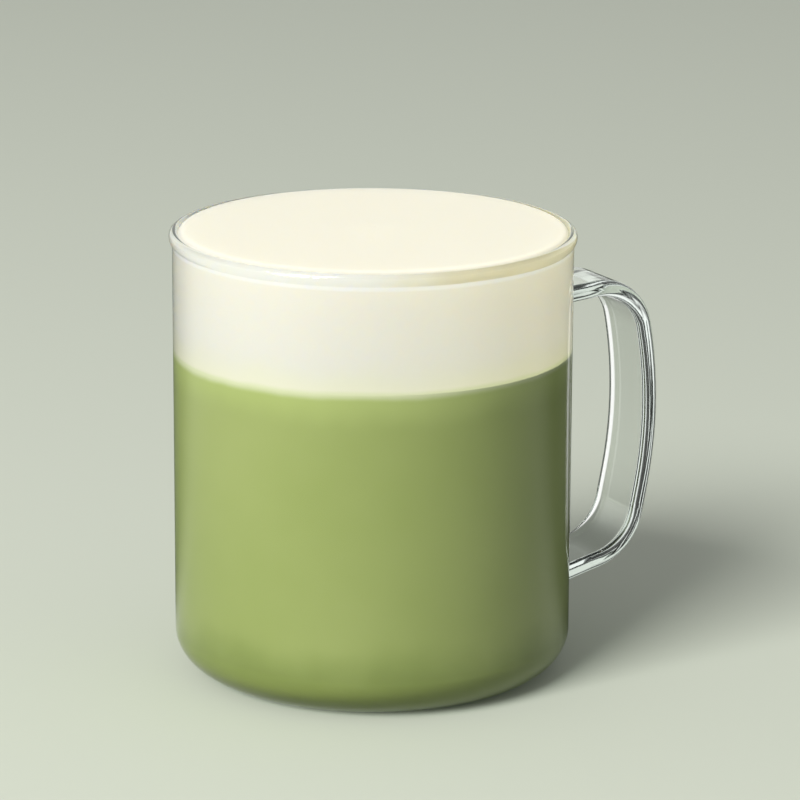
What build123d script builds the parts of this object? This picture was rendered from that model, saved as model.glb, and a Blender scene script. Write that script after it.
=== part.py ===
from build123d import *
import os

# A matcha latte in its clear glass mug: a one-piece glass mug with a flat strap handle, the green
# drink that fills it, and the milk foam that floats on the drink up to the brim.
# Millimetres, +Z up. The origin is the centre of the base, on the surface that the mug stands on.
# The handle reaches out along +X and is centred on the XZ plane.

# Driving dimensions of the glass body
HEIGHT = 96.0            # from the resting plane to the top of the rim
BODY_R = 42.5            # outer radius of the wall below the rim
WALL = 1.8               # thickness of the side wall
FLOOR = 1.9              # thickness of the bottom
CORNER_R = 11.0          # reach of the rounded bottom corner along the base, outside
CORNER_H = 8.8           # height of that corner up the wall
RIM_R = 43.2             # largest radius of the rolled rim
RIM_T = 2.2              # thickness of the rolled rim, which ends in a half round
RIM_H = 2.7              # height of the rolled rim, from its crease on the wall to its top
PUNT_R = 26.0            # radius of the shallow hollow under the base
PUNT_DEPTH = 0.6         # depth of that hollow

# Driving dimensions of the contents
DRINK_TOP = 70.5         # level at which the drink ends and the foam begins
FOAM_EDGE = 95.3         # height of the foam where it meets the glass
FOAM_BULGE = 1.1         # how far the foam stands above its edge, a little over the rim
BULGE_R = 1.4            # reach of the shoulder where the foam rolls down to the glass
SWELL_R = 14.0           # radius of the soft swell that pouring leaves at the centre
SWELL_H = 0.35           # height of that swell above the foam

# Driving dimensions of the strap handle, measured on its outer face as (radius, height)
STRAP_W = 16.2           # width of the strap
STRAP_T = 3.6            # thickness of the strap
STRAP_EDGE_R = 1.5       # rounding of the strap's long edges
TOP_START = (38.0, 79.7)     # start of the top arm, before it is trimmed to the wall
TOP_CORNER = (62.5, 81.9)    # corner between the top arm and the grip
GRIP_MIDDLE = (68.4, 51.7)   # corner of the grip's long outward bow
LOW_CORNER = (61.8, 18.3)    # corner between the grip and the bottom arm
LOW_START = (38.0, 12.3)     # end of the bottom arm, before it is trimmed to the wall
TOP_BEND_R = 13.2        # bend between the top arm and the grip
GRIP_BEND_R = 94.0       # bow of the grip
LOW_BEND_R = 14.8        # bend between the grip and the bottom arm
FLARE_R = 1.5            # fillet of melted glass where the strap joins the wall

# Radii and heights that follow from the driving dimensions
BORE_R = BODY_R - WALL
MOUTH_R = RIM_R - RIM_T
LIP_R = 0.5 * RIM_T
LIP_Z = HEIGHT - LIP_R
CREASE_Z = HEIGHT - RIM_H
FOAM_R = MOUTH_R + 0.1    # just inside the glass, which trims the foam to its own shape
FOAM_LEVEL = FOAM_EDGE + FOAM_BULGE


def lathe(outline):
    """Turns a closed outline of (radius, height) about the mug's axis."""
    return revolve(Plane.XZ * make_face(outline), Axis.Z)


def round_corner(reach, rise):
    """A quarter ellipse from the bottom up to the wall, about the centre of the mug's corner."""
    centre = (BODY_R - CORNER_R, CORNER_H)
    return EllipticalCenterArc(centre, reach, rise, start_angle=270, arc_size=90)


def bore_outline(top):
    """The inner surface of the mug, from the centre of its floor up to the given height."""
    corner = round_corner(CORNER_R - WALL, CORNER_H - FLOOR)
    floor = Line((0, FLOOR), corner @ 0)
    wall = Line(corner @ 1, (BORE_R, top))
    return [floor, corner, wall]


def glass_body():
    """The mug without its handle: base with a shallow punt, wall, and rolled rim."""
    punt = ThreePointArc((0, PUNT_DEPTH), (0.5 * PUNT_R, 0.75 * PUNT_DEPTH), (PUNT_R, 0))
    corner = round_corner(CORNER_R, CORNER_H)
    base = Line((PUNT_R, 0), corner @ 0)
    wall = Line(corner @ 1, (BODY_R, CREASE_Z))
    roll = TangentArc((RIM_R, LIP_Z), (BODY_R, CREASE_Z), tangent=(0, -1))
    lip = ThreePointArc((RIM_R, LIP_Z), (RIM_R - LIP_R, HEIGHT), (MOUTH_R, LIP_Z))
    throat = Line((MOUTH_R, LIP_Z), (BORE_R, CREASE_Z))
    axis = Line((0, FLOOR), (0, PUNT_DEPTH))
    return lathe([punt, base, corner, wall, roll, lip, throat, axis] + bore_outline(CREASE_Z))


def strap():
    """The handle: a flat strap of glass bent into a D, with rounded long edges."""
    corners = [TOP_START, TOP_CORNER, GRIP_MIDDLE, LOW_CORNER, LOW_START]
    outer_face = FilletPolyline(
        [(radius, 0, height) for radius, height in corners],
        radius=[TOP_BEND_R, GRIP_BEND_R, LOW_BEND_R],
    )
    across = Plane(origin=outer_face @ 0, x_dir=(0, 1, 0), z_dir=outer_face % 0)
    section = across * Pos(0, -0.5 * STRAP_T) * RectangleRounded(STRAP_W, STRAP_T, STRAP_EDGE_R)
    return sweep(section, path=outer_face)


def is_strap_seam(edge):
    """True for an edge where the strap's surface meets the outside of the wall."""
    box = edge.bounding_box()
    at_wall = box.min.X > BORE_R and box.max.X < BODY_R and box.max.Z < CREASE_Z
    off_centre = box.max.Y - box.min.Y > STRAP_EDGE_R or abs(edge.center().Y) > 0.4 * STRAP_W
    return at_wall and off_centre


def mug():
    """The glass mug in one piece, the strap melted into the wall at both ends."""
    inside = Pos(0, 0, 0.5 * HEIGHT) * Cylinder(BORE_R, HEIGHT)
    joined = glass_body() + (strap() - inside)
    return joined.fillet(FLARE_R, [edge for edge in joined.edges() if is_strap_seam(edge)])


def drink():
    """The green drink, from the floor of the mug up to its level surface under the foam."""
    surface = Line((BORE_R, DRINK_TOP), (0, DRINK_TOP))
    axis = Line((0, DRINK_TOP), (0, FLOOR))
    return lathe(bore_outline(DRINK_TOP) + [surface, axis])


def milk_foam():
    """The foam, from the drink's surface up to its own top, which bulges a little over the rim."""
    underside = Line((0, DRINK_TOP), (FOAM_R, DRINK_TOP))
    side = Line((FOAM_R, DRINK_TOP), (FOAM_R, FOAM_EDGE))
    centre = (FOAM_R - BULGE_R, FOAM_EDGE)
    shoulder = EllipticalCenterArc(centre, BULGE_R, FOAM_BULGE, start_angle=0, arc_size=90)
    level = Line(shoulder @ 1, (SWELL_R, FOAM_LEVEL))
    swell = Spline((SWELL_R, FOAM_LEVEL), (0, FOAM_LEVEL + SWELL_H), tangents=[(-1, 0), (-1, 0)])
    axis = Line((0, FOAM_LEVEL + SWELL_H), (0, DRINK_TOP))
    return lathe([underside, side, shoulder, level, swell, axis]) - glass_body()


os.makedirs("parts", exist_ok=True)
for node, solid in (("glass_mug", mug()), ("green_drink", drink()), ("milk_foam", milk_foam())):
    export_step(solid, f"parts/{node}.step")
    print(node, round(solid.volume / 1000.0, 1), "ml")
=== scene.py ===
import math

import bmesh
import bpy
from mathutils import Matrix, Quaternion, Vector


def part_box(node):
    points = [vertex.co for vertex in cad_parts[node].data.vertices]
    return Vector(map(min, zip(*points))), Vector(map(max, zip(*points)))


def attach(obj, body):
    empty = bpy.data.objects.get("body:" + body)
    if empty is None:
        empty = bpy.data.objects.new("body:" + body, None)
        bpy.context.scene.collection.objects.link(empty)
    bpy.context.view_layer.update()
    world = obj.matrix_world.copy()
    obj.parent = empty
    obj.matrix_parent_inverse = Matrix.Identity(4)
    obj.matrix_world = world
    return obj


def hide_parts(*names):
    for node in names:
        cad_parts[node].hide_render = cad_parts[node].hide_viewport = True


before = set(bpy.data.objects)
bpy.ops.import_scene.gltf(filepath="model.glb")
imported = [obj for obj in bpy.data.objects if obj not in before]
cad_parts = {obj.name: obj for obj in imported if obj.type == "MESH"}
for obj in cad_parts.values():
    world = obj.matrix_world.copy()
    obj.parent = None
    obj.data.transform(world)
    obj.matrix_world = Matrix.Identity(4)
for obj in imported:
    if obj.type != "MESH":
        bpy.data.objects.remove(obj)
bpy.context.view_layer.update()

# A matcha latte in a clear glass mug. The mug is the CAD node with a glass material. The drink and
# the foam are remade here, out to just inside the glass. Everything is in metres.
MM = 0.001

# Sizes that the frame gives
GLASS_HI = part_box("glass_mug")[1]
DRINK_LO, DRINK_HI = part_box("green_drink")
FOAM_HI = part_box("milk_foam")[1]
RIM_TOP = GLASS_HI.z
RIM_R = GLASS_HI.y
BORE_R = DRINK_HI.x
FLOOR_Z = DRINK_LO.z
DRINK_TOP = DRINK_HI.z

# Sizes that belong to the shape of the rim and the contents
BITE = 0.2 * MM             # how far the contents reach into the glass
LIP_R = 1.1 * MM            # radius of the rim's half-round edge
CREASE_DROP = 2.7 * MM      # from the top of the rim down to its crease on the wall
CORNER_REACH = 9.2 * MM     # inner bottom corner: its reach along the floor
CORNER_RISE = 6.9 * MM      # and its rise up the wall
BULGE = 1.1 * MM            # how far the foam stands above its edge
SHOULDER = 1.5 * MM         # reach of the shoulder where it rolls down to the glass
SWELL_R = 14.0 * MM         # radius of the swell that pouring leaves at the centre
SWELL = 0.35 * MM           # height of that swell
CREASE_Z = RIM_TOP - CREASE_DROP
FOAM_EDGE = FOAM_HI.z - SWELL - BULGE

# How finely the pieces are made
SEGMENTS = 256              # facets round the mug
CORNER_STEPS = 24           # along the drink's bottom corner
WALL_STEPS = 12             # up the wall
THROAT_STEPS = 4            # up the slope inside the rim
SHOULDER_STEPS = 12         # round the foam's shoulder
TOP_STEPS = 60              # from there to the centre
SHARP_ANGLE = 50.0          # degrees; a sharper edge isn't smoothed over
ON_AXIS = 1e-9              # a smaller radius is a single point on the axis


# ---------------------------------------------------------------- mesh helpers

def finish_mesh(name, bm):
    """A smooth-shaded object from a bmesh."""
    bmesh.ops.recalc_face_normals(bm, faces=bm.faces)
    mesh = bpy.data.meshes.new(name)
    bm.to_mesh(mesh)
    bm.free()
    mesh.shade_smooth()
    mesh.set_sharp_from_angle(angle=math.radians(SHARP_ANGLE))
    piece = bpy.data.objects.new(name, mesh)
    bpy.context.scene.collection.objects.link(piece)
    return piece


def ring(bm, radius, height, relief):
    """The vertices that one point of an outline makes as it turns about the Z axis."""
    if radius < ON_AXIS:
        return [bm.verts.new((0.0, 0.0, height))]
    verts = []
    for i in range(SEGMENTS):
        turn = math.tau * i / SEGMENTS
        x, y = radius * math.cos(turn), radius * math.sin(turn)
        lift = relief(x, y, height) if relief else 0.0
        verts.append(bm.verts.new((x, y, height + lift)))
    return verts


def lathe(name, outline, relief=None):
    """Turns (radius, height) points about the Z axis. The outline starts and ends on the axis."""
    bm = bmesh.new()
    rings = [ring(bm, radius, height, relief) for radius, height in outline]
    for a, b in zip(rings, rings[1:]):
        for i in range(SEGMENTS):
            j = (i + 1) % SEGMENTS
            corners = [a[i % len(a)], a[j % len(a)], b[j % len(b)], b[i % len(b)]]
            bm.faces.new(list(dict.fromkeys(corners)))
    return finish_mesh(name, bm)


def arc(centre, reach, rise, start, end, steps):
    """Points of an ellipse's arc about centre, angles in degrees from the outward direction."""
    points = []
    for i in range(steps + 1):
        angle = math.radians(start + (end - start) * i / steps)
        points.append((centre[0] + reach * math.cos(angle), centre[1] + rise * math.sin(angle)))
    return points


def straight(start, end, steps):
    """Evenly spaced points after start, up to and with end."""
    return [
        (start[0] + (end[0] - start[0]) * i / steps, start[1] + (end[1] - start[1]) * i / steps)
        for i in range(1, steps + 1)
    ]


# ---------------------------------------------------------------- node helpers

class Nodes:
    """A short way to write a node tree."""

    def __init__(self, tree):
        self.tree = tree
        tree.nodes.clear()

    def add(self, kind, inputs=None, **settings):
        """A node with these settings. An input takes a constant, or a link from another's output."""
        node = self.tree.nodes.new(kind)
        for key, value in settings.items():
            setattr(node, key, value)
        for key, value in (inputs or {}).items():
            if isinstance(value, bpy.types.NodeSocket):
                self.tree.links.new(value, node.inputs[key])
            else:
                node.inputs[key].default_value = value
        return node

    def maths(self, operation, first, second):
        """The result of a Math node."""
        return self.add("ShaderNodeMath", {0: first, 1: second}, operation=operation).outputs[0]

    def finish(self, surface, volume=None):
        """Links the material's output."""
        output = self.add("ShaderNodeOutputMaterial", {"Surface": surface.outputs[0]})
        if volume:
            self.tree.links.new(volume.outputs[0], output.inputs["Volume"])


def new_material(name):
    """An empty node material, and its nodes."""
    material = bpy.data.materials.new(name)
    material.use_nodes = True
    return material, Nodes(material.node_tree)


MIX_SHARE, MIX_LOW, MIX_HIGH, MIX_RESULT = 0, 6, 7, 2    # the sockets of a Mix node for colours
NOISE_LOW, NOISE_HIGH = 0.3, 0.7                        # most of a noise texture lies between these
EDGE_NOISE = 90.0                                       # scale of the noise that makes edges uneven
UPWARD = (0.0, 0.0, 1.0)


def blend(nodes, share, low, high):
    """The colour low where share is 0, and high where it is 1."""
    inputs = {MIX_SHARE: share, MIX_LOW: low, MIX_HIGH: high}
    return nodes.add("ShaderNodeMix", inputs, data_type="RGBA").outputs[MIX_RESULT]


def clouds(nodes, scale):
    """A soft uneven factor from 0 to 1."""
    place = nodes.add("ShaderNodeTexCoord").outputs["Object"]
    noise = nodes.add("ShaderNodeTexNoise", {"Vector": place, "Scale": scale, "Detail": 3.0})
    return nodes.add("ShaderNodeMapRange", {
        "Value": noise.outputs["Fac"], "From Min": NOISE_LOW, "From Max": NOISE_HIGH,
    }).outputs[0]


def band_mix(nodes, band, wobble=0.0, along=UPWARD):
    """0 before the band's start and 1 past its end, smoothly, with an edge that may be uneven."""
    place = nodes.add("ShaderNodeTexCoord").outputs["Object"]
    dot = nodes.add("ShaderNodeVectorMath", {0: place, 1: along}, operation="DOT_PRODUCT")
    reach = dot.outputs["Value"]
    if wobble:
        noise = nodes.add("ShaderNodeTexNoise", {
            "Vector": place, "Scale": EDGE_NOISE, "Detail": 2.0,
        })
        uneven = nodes.add("ShaderNodeMapRange", {
            "Value": noise.outputs["Fac"], "From Min": NOISE_LOW, "From Max": NOISE_HIGH,
            "To Min": -wobble, "To Max": wobble,
        }, clamp=False)
        reach = nodes.maths("ADD", reach, uneven.outputs[0])
    return nodes.add("ShaderNodeMapRange", {
        "Value": reach, "From Min": band[0], "From Max": band[1],
    }, interpolation_type="SMOOTHSTEP").outputs[0]


# ---------------------------------------------------------------- materials

GLASS_COLOUR = (0.990, 0.995, 0.990, 1.0)
GLASS_SHADOW = (0.960, 0.970, 0.960, 1.0)       # what one surface lets through to the contents
GLASS_DEPTH = (0.800, 0.900, 0.860, 1.0)        # the green that thick glass takes on
GLASS_DENSITY = 35.0


def glass_material():
    """Clear, faintly green glass. Lamps shine straight through it to what it holds."""
    material, nodes = new_material("mug_glass")
    glass = nodes.add("ShaderNodeBsdfPrincipled", {
        "Base Color": GLASS_COLOUR, "Roughness": 0.0, "IOR": 1.5, "Transmission Weight": 1.0,
    })
    clear = nodes.add("ShaderNodeBsdfTransparent", {"Color": GLASS_SHADOW})
    path = nodes.add("ShaderNodeLightPath")
    scattered = nodes.add("ShaderNodeMixShader", {
        0: path.outputs["Is Diffuse Ray"], 1: glass.outputs[0], 2: clear.outputs[0],
    })
    lit = nodes.add("ShaderNodeMixShader", {
        0: path.outputs["Is Shadow Ray"], 1: scattered.outputs[0], 2: clear.outputs[0],
    })
    depth = nodes.add("ShaderNodeVolumeAbsorption", {"Color": GLASS_DEPTH, "Density": GLASS_DENSITY})
    nodes.finish(lit, depth)
    return material


LEAN = (-0.007, 0.0035, 1.0)                    # square to the foam's underside, which isn't level
BLEND_COLOUR = (0.780, 0.815, 0.530, 1.0)       # where drink and foam have mixed

DRINK_COLOUR = (0.353, 0.430, 0.127, 1.0)
DRINK_PALE = (0.406, 0.478, 0.163, 1.0)         # paler clouds in it
DRINK_CLOUDS = 22.0                             # scale of those clouds
DRINK_DEEP = (0.235, 0.300, 0.075, 1.0)         # towards the bottom
DRINK_BASE_PAINTED_LIGHT = (0.550, 0.670, 0.160, 1.0)         # painted light at the very bottom, paler again where the bottom corner lies in shade
DRINK_SURFACE = (0.460, 0.550, 0.180, 1.0)      # just below the foam

# Heights over which one colour of the drink passes into the next
DEEP_BAND = (5.0 * MM, 18.0 * MM)
BASE_PAINTED_LIGHT_BAND = (2.5 * MM, 9.5 * MM)
SURFACE_BAND = (DRINK_TOP - 8.0 * MM, DRINK_TOP - 1.0 * MM)
DRINK_BLEND = (DRINK_TOP - 1.6 * MM, DRINK_TOP + 0.3 * MM)


def drink_material():
    """Opaque milky green, deeper at the bottom, with painted light that makes the very bottom paler
    again, and paler where it meets the foam.
    """
    material, nodes = new_material("green_drink_body")
    colour = blend(nodes, clouds(nodes, DRINK_CLOUDS), DRINK_COLOUR, DRINK_PALE)
    colour = blend(nodes, band_mix(nodes, DEEP_BAND, wobble=1.5 * MM), DRINK_DEEP, colour)
    # painted light: the very bottom paler again
    colour = blend(nodes, band_mix(nodes, BASE_PAINTED_LIGHT_BAND), DRINK_BASE_PAINTED_LIGHT, colour)
    colour = blend(nodes, band_mix(nodes, SURFACE_BAND, wobble=0.8 * MM), colour, DRINK_SURFACE)
    level = band_mix(nodes, DRINK_BLEND, wobble=0.2 * MM, along=LEAN)
    colour = blend(nodes, level, colour, BLEND_COLOUR)
    nodes.finish(nodes.add("ShaderNodeBsdfPrincipled", {
        "Base Color": colour, "Roughness": 0.5, "Specular IOR Level": 0.0,
    }))
    return material


# The top is painted darker than the sides: painted shade that evens out the stronger light it gets from
# above.
FOAM_TOP_PAINTED_SHADE = (0.705, 0.689, 0.582, 1.0)
FOAM_SIDE = (0.890, 0.862, 0.794, 1.0)
FOAM_LOW = (0.900, 0.882, 0.705, 1.0)           # faintly green towards the drink
FOAM_PAINTED_CAUSTIC = (0.970, 0.960, 0.930, 1.0)          # painted highlight: the bright line of light that the rim focuses on the foam under its crease
FOAM_SHOULDER_PAINTED_SHADE = (0.620, 0.600, 0.520, 1.0)      # painted shade where the foam rolls down to the glass
FOAM_RIM_PAINTED_LIT = (0.860, 0.860, 0.830, 1.0)          # behind the rim: painted shade, lighter on the side towards the light
FOAM_RIM_PAINTED_SHADE = (0.750, 0.717, 0.590, 1.0)         # and painted deeper shade on the side away from it
FOAM_SPREAD = (1.0, 0.92, 0.75)                 # how far each colour of light spreads in the foam
FROTH = 1400.0                                  # scale of the noise that gives the froth its grain
FROTH_DEPTH = 0.06 * MM                         # and how deep that grain is
TOWARDS_PAINTED_SHADE = (0.886, -0.463, 0.0)                    # across the mug, towards the side where the deeper shade is painted

# Heights over which one colour of the foam passes into the next, and the same across the mug
PAINTED_CAUSTIC_BAND = (CREASE_Z - 1.3 * MM, CREASE_Z - 0.7 * MM)
RIM_PAINTED_SHADE_BAND = (CREASE_Z + 0.1 * MM, CREASE_Z + 0.5 * MM)
SHOULDER_PAINTED_SHADE_BAND = (FOAM_EDGE - 0.1 * MM, FOAM_EDGE + 0.3 * MM)
TOP_BAND = (FOAM_EDGE + 0.6 * MM, FOAM_EDGE + 1.0 * MM)
LOW_BAND = (DRINK_TOP + 0.5 * MM, DRINK_TOP + 8.0 * MM)
FOAM_BLEND = (DRINK_TOP - 0.1 * MM, DRINK_TOP + 1.1 * MM)
SPREAD_BAND = (DRINK_TOP + 0.5 * MM, DRINK_TOP + 9.0 * MM)
SIDE_PAINTED_SHADE_BAND = (-6.0 * MM, 24.0 * MM)


def foam_colour(nodes):
    """Cream foam, faintly green near the drink, with painted light and shade: the top painted darker
    than the sides, a painted bright line under the rim's crease, the foam behind the rim painted in
    shade that is lighter on one side, and painted shade along the shoulder.
    """
    # painted highlight: the bright line under the rim's crease
    colour = blend(nodes, band_mix(nodes, PAINTED_CAUSTIC_BAND), FOAM_SIDE, FOAM_PAINTED_CAUSTIC)
    # painted shade behind the rim, lighter on the side towards the light
    side = band_mix(nodes, SIDE_PAINTED_SHADE_BAND, wobble=3.0 * MM, along=TOWARDS_PAINTED_SHADE)
    rim_painted_shade = blend(nodes, side, FOAM_RIM_PAINTED_LIT, FOAM_RIM_PAINTED_SHADE)
    colour = blend(nodes, band_mix(nodes, RIM_PAINTED_SHADE_BAND), colour, rim_painted_shade)
    # painted shade along the shoulder
    colour = blend(nodes, band_mix(nodes, SHOULDER_PAINTED_SHADE_BAND), colour, FOAM_SHOULDER_PAINTED_SHADE)
    # the top, painted darker than the sides
    colour = blend(nodes, band_mix(nodes, TOP_BAND), colour, FOAM_TOP_PAINTED_SHADE)
    colour = blend(nodes, band_mix(nodes, LOW_BAND, wobble=1.0 * MM), FOAM_LOW, colour)
    level = band_mix(nodes, FOAM_BLEND, wobble=0.2 * MM, along=LEAN)
    return blend(nodes, level, BLEND_COLOUR, colour)


def foam_material():
    """Fine milk foam. Light spreads inside it, less so near the drink."""
    material, nodes = new_material("milk_foam_body")
    place = nodes.add("ShaderNodeTexCoord").outputs["Object"]
    froth = nodes.add("ShaderNodeTexNoise", {"Vector": place, "Scale": FROTH, "Detail": 3.0})
    grain = nodes.add("ShaderNodeBump", {
        "Strength": 0.25, "Distance": FROTH_DEPTH, "Height": froth.outputs["Fac"],
    })
    roughness = nodes.add("ShaderNodeMapRange", {
        "Value": froth.outputs["Fac"], "To Min": 0.5, "To Max": 0.7,
    })
    nodes.finish(nodes.add("ShaderNodeBsdfPrincipled", {
        "Base Color": foam_colour(nodes), "Roughness": roughness.outputs[0],
        "Specular IOR Level": 0.05, "Normal": grain.outputs[0],
        "Subsurface Weight": band_mix(nodes, SPREAD_BAND), "Subsurface Radius": FOAM_SPREAD,
        "Subsurface Scale": 8.0 * MM,
    }))
    return material


# ---------------------------------------------------------------- the object

def mug():
    """The CAD mug, which keeps its shape and gets the glass."""
    glass = glass_material()
    for slot in bpy.data.objects["glass_mug"].material_slots:
        slot.material = glass


def stand_for(piece, node, material):
    """Gives a piece its material, and puts it in the place of a CAD node."""
    piece.data.materials.append(material)
    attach(piece, "root")
    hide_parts(node)


def drink():
    """The green drink, out to just inside the glass all round."""
    centre = (BORE_R - CORNER_REACH, FLOOR_Z + CORNER_RISE)
    outline = [(0.0, FLOOR_Z - BITE), (0.5 * centre[0], FLOOR_Z - BITE)]
    outline += arc(centre, CORNER_REACH + BITE, CORNER_RISE + BITE, -90, 0, CORNER_STEPS)
    outline += straight(outline[-1], (BORE_R + BITE, DRINK_TOP), WALL_STEPS)
    outline += [(0.5 * BORE_R, DRINK_TOP), (0.0, DRINK_TOP)]
    stand_for(lathe("drink_body", outline), "green_drink", drink_material())


def foam_relief(x, y, height):
    """How much the soft swell lifts the top of the foam at this place."""
    if height < FOAM_EDGE:
        return 0.0
    share = min(math.hypot(x, y) / SWELL_R, 1.0)
    return SWELL * (1.0 - share * share * (3.0 - 2.0 * share))


def foam():
    """The milk foam, from the drink up to the brim, where it bulges a little over the rim."""
    throat_r = RIM_R - 2.0 * LIP_R + BITE
    outline = [(0.0, DRINK_TOP), (0.5 * BORE_R, DRINK_TOP), (BORE_R + BITE, DRINK_TOP)]
    outline += straight(outline[-1], (BORE_R + BITE, CREASE_Z), WALL_STEPS)
    outline += straight(outline[-1], (throat_r, RIM_TOP - LIP_R), THROAT_STEPS)
    outline += arc((throat_r - SHOULDER, FOAM_EDGE), SHOULDER, BULGE, 0, 90, SHOULDER_STEPS)
    outline += straight(outline[-1], (0.0, FOAM_EDGE + BULGE), TOP_STEPS)
    piece = lathe("foam_body", outline, foam_relief)
    stand_for(piece, "milk_foam", foam_material())
    return piece


# ---------------------------------------------------------------- studio

CENTRE = Vector((0.0, 0.0, 0.0475))     # the point that the camera and lamps are set out from
CAMERA_TURN = -27.6                     # the camera's azimuth: 0 looks along +Y, with +X to the right
CAMERA_RISE = 15.56                     # and its elevation, both in degrees
CAMERA_ROLL = 0.26                      # how far it leans to its left, which turns the view clockwise
CAMERA_AWAY = 0.900                     # its distance from that point
CAMERA_REACH = (0.05, 20.0)             # the nearest and the farthest that it shows
FRAMING = (0.00584, 0.01081)            # how far right of and above that point it looks
LENS = 189.0                            # in mm, on the 36 mm sensor


def around(turn, rise, away):
    """The point at this azimuth, elevation and distance from the centre of the mug."""
    turn, rise = math.radians(turn), math.radians(rise)
    level = math.cos(rise)
    heading = Vector((math.sin(turn) * level, -math.cos(turn) * level, math.sin(rise)))
    return CENTRE + away * heading


def camera():
    """Looks at the mug from its front left, a little from above."""
    data = bpy.data.cameras.new("camera")
    data.lens = LENS
    data.clip_start, data.clip_end = CAMERA_REACH
    rig = bpy.data.objects.new("camera", data)
    bpy.context.scene.collection.objects.link(rig)
    rig.location = around(CAMERA_TURN, CAMERA_RISE, CAMERA_AWAY)
    away = (rig.location - CENTRE).normalized()
    right = Vector((0, 0, 1)).cross(away).normalized()
    up = away.cross(right)
    aim = CENTRE + FRAMING[0] * right + FRAMING[1] * up
    lean = Quaternion((0, 0, 1), math.radians(CAMERA_ROLL))
    rig.rotation_mode = "QUATERNION"
    rig.rotation_quaternion = (aim - rig.location).to_track_quat("-Z", "Y") @ lean
    bpy.context.scene.camera = rig


def lamp(name, turn, rise, away, size, power, colour):
    """A square soft box that faces the mug. Power is in watts."""
    data = bpy.data.lights.new(name, "AREA")
    data.shape = "SQUARE"
    data.size = size
    data.energy = power
    data.color = colour
    box = bpy.data.objects.new(name, data)
    bpy.context.scene.collection.objects.link(box)
    box.location = around(turn, rise, away)
    box.rotation_mode = "QUATERNION"
    box.rotation_quaternion = (CENTRE - box.location).to_track_quat("-Z", "Y")
    return box


FLOOR_R = 6.0                               # radius of the floor, far past what any view shows
FLOOR_SEGMENTS = 128                        # facets round its edge
FLOOR_COLOUR = (0.58, 0.62, 0.54, 1.0)      # what the camera sees
FLOOR_BOUNCE = (0.080, 0.095, 0.065, 1.0)   # what the object is lit by from below
HORIZON = (0.80, 0.83, 0.77, 1.0)           # the world that is seen, level with the object
ZENITH = (0.03, 0.03, 0.03, 1.0)            # and overhead
SKY_BAND = (0.30, 0.60)                     # the rise over which the one passes into the other
WORLD_COLOUR = (1.0, 1.0, 1.0, 1.0)         # the even light that the world gives
WORLD_LIGHT = 0.38
GRIP = (GLASS_HI.x - 3.0 * MM, 0.0, 0.0)    # the foot of the handle's grip, that the cards stand round
CARDS = 6                                   # bright sectors round it, where the floor glows for rays through the glass: painted highlights that only its edges show
CARDS_TURN = math.radians(144.0)            # where they start, as a phase of their wave
CARDS_SOFT = 0.7                            # how gently they pass into the dark ones: 0 is sharp
CARD_TURN = 116.0                           # azimuth of one more glowing sector, a painted highlight that shows straight through an edge
CARD_SPAN = (20.0, 12.0)                    # where it begins and is full, in degrees either side
CARD_COLOUR = (1.0, 1.0, 0.98, 1.0)
CARD_BRIGHT = 1.1                           # strength of the bright ones
CARD_DARK = 0.06                            # and of the dark ones between them
FLAG_TURN = 145.0                           # azimuth of the darker floor that the wall's edges reflect
FLAG_SPAN = (75.0, 50.0)                    # where it begins and is full, in degrees either side
FLAG_COLOUR = (0.14, 0.16, 0.12, 1.0)
STRAIGHT_DEPTH = 2.5                        # above the depth of a ray that passes straight through glass


def seen(nodes):
    """1 for rays that come from the camera straight, by a reflection or through glass."""
    path = nodes.add("ShaderNodeLightPath").outputs
    direct = nodes.maths("MAXIMUM", path["Is Camera Ray"], path["Is Glossy Ray"])
    return nodes.maths("MAXIMUM", direct, path["Is Transmission Ray"])


def reflected(nodes):
    """1 for pure reflections. Rays through glass count as glossy too, so they are taken off."""
    path = nodes.add("ShaderNodeLightPath").outputs
    inputs = {0: path["Is Glossy Ray"], 1: path["Is Transmission Ray"]}
    return nodes.add("ShaderNodeMath", inputs, operation="SUBTRACT", use_clamp=True).outputs[0]


def bounced_inside(nodes):
    """1 for rays that have bounced inside the glass on their way, and so come out at its edges."""
    depth = nodes.add("ShaderNodeLightPath").outputs["Ray Depth"]
    return nodes.maths("MULTIPLY", nodes.maths("GREATER_THAN", depth, STRAIGHT_DEPTH), seen(nodes))


def towards(nodes, centre, turn, span):
    """1 on the part of the floor that lies towards this azimuth from the centre, smoothly."""
    place = nodes.add("ShaderNodeTexCoord").outputs["Object"]
    about = nodes.add("ShaderNodeVectorMath", {0: place, 1: centre}, operation="SUBTRACT")
    level = nodes.add("ShaderNodeVectorMath", {0: about.outputs[0]}, operation="NORMALIZE")
    heading = (math.sin(math.radians(turn)), -math.cos(math.radians(turn)), 0.0)
    along = nodes.add("ShaderNodeVectorMath", {0: level.outputs[0], 1: heading}, operation="DOT_PRODUCT")
    return nodes.add("ShaderNodeMapRange", {
        "Value": along.outputs["Value"], "From Min": math.cos(math.radians(span[0])),
        "From Max": math.cos(math.radians(span[1])),
    }, interpolation_type="SMOOTHSTEP").outputs[0]


def sectors(nodes):
    """Glowing and dark sectors of floor round the handle, as white and black cards would give: painted
    highlights.
    """
    place = nodes.add("ShaderNodeTexCoord").outputs["Object"]
    about = nodes.add("ShaderNodeVectorMath", {0: place, 1: GRIP}, operation="SUBTRACT")
    turn = nodes.add("ShaderNodeTexGradient", {0: about.outputs[0]}, gradient_type="RADIAL")
    angle = nodes.add("ShaderNodeMath", {
        0: turn.outputs["Fac"], 1: CARDS * math.tau, 2: -CARDS_TURN,
    }, operation="MULTIPLY_ADD")
    wave = nodes.add("ShaderNodeMath", {0: angle.outputs[0]}, operation="COSINE")
    return nodes.add("ShaderNodeMapRange", {
        "Value": wave.outputs[0], "From Min": -CARDS_SOFT, "From Max": CARDS_SOFT,
        "To Min": CARD_DARK, "To Max": CARD_BRIGHT,
    }, interpolation_type="SMOOTHSTEP").outputs[0]


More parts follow.
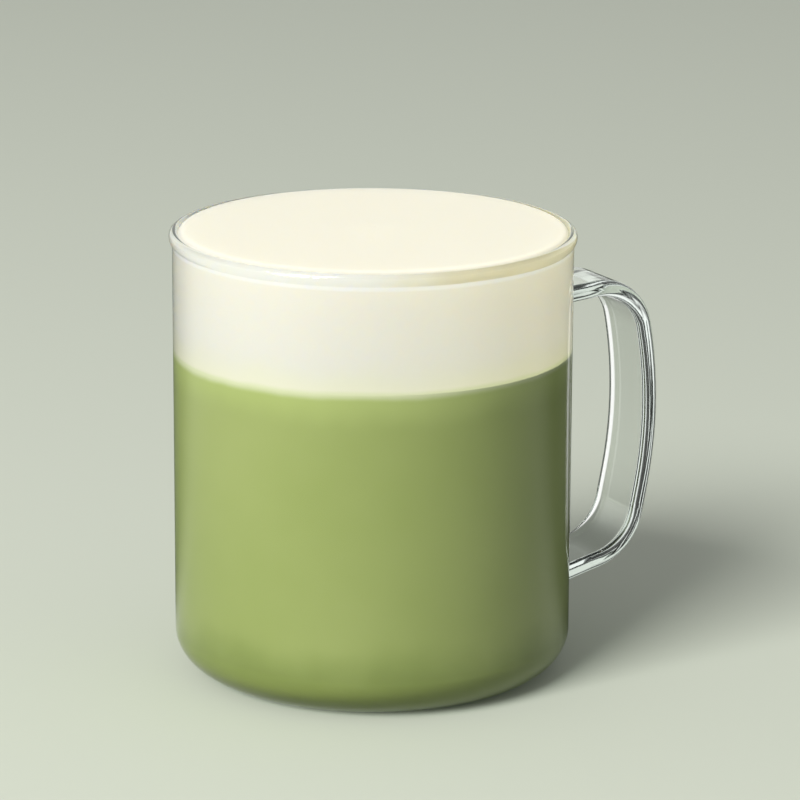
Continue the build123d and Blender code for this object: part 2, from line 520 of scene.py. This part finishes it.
def floor_material():
    """Pale paper. For rays through the glass it glows in bright sectors and is dark between them, as
    white
    and black cards would: painted highlights in the glass's edges. Reflections see it darker on the far
    side of the mug."""
    material, nodes = new_material("floor_paper")
    flagged = towards(nodes, (0.0, 0.0, 0.0), FLAG_TURN, FLAG_SPAN)
    flag = nodes.maths("MULTIPLY", flagged, reflected(nodes))
    pale = blend(nodes, flag, FLOOR_COLOUR, FLAG_COLOUR)
    paper = nodes.add("ShaderNodeBsdfPrincipled", {
        "Base Color": blend(nodes, seen(nodes), FLOOR_BOUNCE, pale), "Roughness": 0.8,
        "Specular IOR Level": 0.1,
    })
    through = nodes.add("ShaderNodeLightPath").outputs["Is Transmission Ray"]
    lit = nodes.maths("MULTIPLY", towards(nodes, GRIP, CARD_TURN, CARD_SPAN), through)
    # the floor glows here for rays straight through the glass: a painted highlight
    card = nodes.add("ShaderNodeEmission", {"Color": CARD_COLOUR, "Strength": CARD_BRIGHT})
    straight_through = nodes.add("ShaderNodeMixShader", {
        0: lit, 1: paper.outputs[0], 2: card.outputs[0],
    })
    cards = nodes.add("ShaderNodeEmission", {"Color": CARD_COLOUR, "Strength": sectors(nodes)})
    nodes.finish(nodes.add("ShaderNodeMixShader", {
        0: bounced_inside(nodes), 1: straight_through.outputs[0], 2: cards.outputs[0],
    }))
    return material


def floor():
    """The round sheet that the mug stands on."""
    bm = bmesh.new()
    bmesh.ops.create_circle(bm, cap_ends=True, radius=FLOOR_R, segments=FLOOR_SEGMENTS)
    piece = finish_mesh("floor", bm)
    piece.data.materials.append(floor_material())


def surroundings():
    """Even light from all round. What is seen is pale at the horizon and dark overhead."""
    world = bpy.data.worlds.new("studio")
    bpy.context.scene.world = world
    world.use_nodes = True
    nodes = Nodes(world.node_tree)
    direction = nodes.add("ShaderNodeTexCoord").outputs["Generated"]
    height = nodes.add("ShaderNodeSeparateXYZ", {0: direction}).outputs["Z"]
    rise = nodes.add("ShaderNodeMapRange", {
        "Value": height, "From Min": SKY_BAND[0], "From Max": SKY_BAND[1],
    }, interpolation_type="SMOOTHSTEP")
    sky = blend(nodes, rise.outputs[0], HORIZON, ZENITH)
    light = nodes.add("ShaderNodeBackground", {"Color": WORLD_COLOUR, "Strength": WORLD_LIGHT})
    shown = nodes.add("ShaderNodeBackground", {"Color": sky, "Strength": 1.0})
    mixed = nodes.add("ShaderNodeMixShader", {
        0: seen(nodes), 1: light.outputs[0], 2: shown.outputs[0],
    })
    nodes.add("ShaderNodeOutputWorld", {"Surface": mixed.outputs[0]})


def lamps(foam_piece):
    """One soft box, and a weaker one for the foam alone, in place of light that spreads inside it."""
    lamp("key", turn=CAMERA_TURN - 38.0, rise=41.0, away=2.4, size=1.0, power=66.0,
         colour=(1.0, 0.985, 0.95))
    glow = lamp("foam_glow", turn=CAMERA_TURN + 86.0, rise=15.0, away=2.4, size=1.6, power=42.0,
                colour=(1.0, 0.945, 0.74))
    lit_foam = bpy.data.collections.new("lit_foam")
    lit_foam.objects.link(foam_piece)
    glow.light_linking.receiver_collection = lit_foam


mug()
drink()
lamps(foam())
camera()
floor()
surroundings()
bpy.context.scene.view_settings.view_transform = "Standard"
